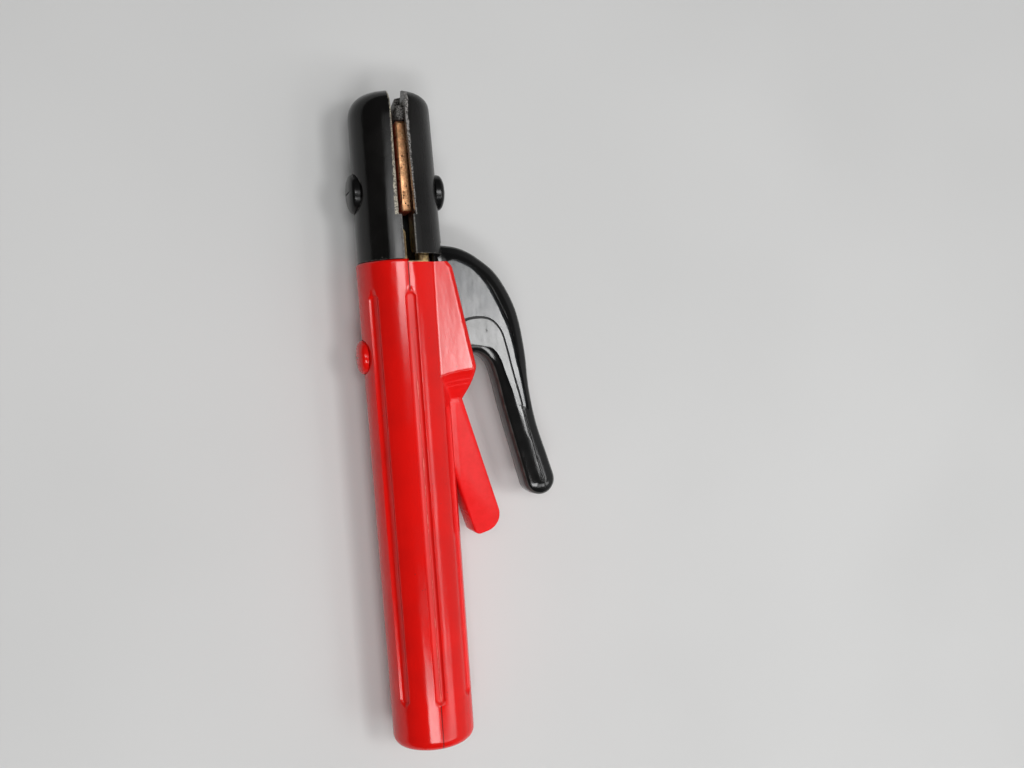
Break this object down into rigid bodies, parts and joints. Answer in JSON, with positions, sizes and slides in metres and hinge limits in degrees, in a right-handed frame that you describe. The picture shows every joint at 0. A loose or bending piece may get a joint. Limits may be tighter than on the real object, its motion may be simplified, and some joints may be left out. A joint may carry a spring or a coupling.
{
  "type": "electrode holder",
  "caption": "Insulated hand-held electrode holder for manual arc welding: tubular ribbed handle, covered jaws with copper contacts, and a curved squeeze lever.",
  "frame": {"origin": "middle of the floor of the cable socket, on the handle's axis", "axes": "+Y along the handle toward the jaws, +X toward the lever, +Z across the holder, which is symmetric about the XY plane"},
  "size_m": [0.0817, 0.2726, 0.0358],
  "materials": {
    "red_moulding": "glossy moulded thermoset, bright red",
    "black_cover": "glossy black fibre-filled moulding",
    "black_moulding": "semi-gloss black moulding",
    "cast_brass": "as cast, dull",
    "sintered_copper": "copper, slightly rough and pitted",
    "plated_steel": "zinc plated"
  },
  "bodies": {
    "body": {"handle": "red_moulding", "fixed_jaw_arm": "cast_brass", "fixed_contact": "sintered_copper", "fixed_jaw_cover": "black_cover", "fixed_jaw_cover_screw": "plated_steel", "fixed_jaw_cover_cap": "black_cover", "handle_screw": "plated_steel", "handle_screw_cap": "red_moulding", "pivot_pin": "plated_steel", "pivot_ring": "plated_steel", "upper_washer": "plated_steel", "lower_washer": "plated_steel", "lever_spring": "plated_steel", "cable_clamp_screw_front": "plated_steel", "cable_clamp_screw_rear": "plated_steel", "cable_bush": "sintered_copper"},
    "moving_arm": {"moving_jaw_arm": "cast_brass", "moving_contact": "sintered_copper", "moving_jaw_cover": "black_cover", "moving_jaw_cover_screw": "plated_steel", "moving_jaw_cover_cap": "black_cover", "lever": "black_moulding", "lever_pin_front": "plated_steel", "lever_pin_rear": "plated_steel", "spring_cup": "plated_steel"}
  },
  "joints": [
    {"name": "lever_pivot", "type": "hinge", "parent": "body", "child": "moving_arm", "pos_m": [0.007, 0.054, 0], "axis": [0, 0, -1], "range_deg": [0, 8], "stiffness_Nm_per_rad": 12, "springref_deg": -8.59, "deforming": ["lever_spring"]}
  ]
}
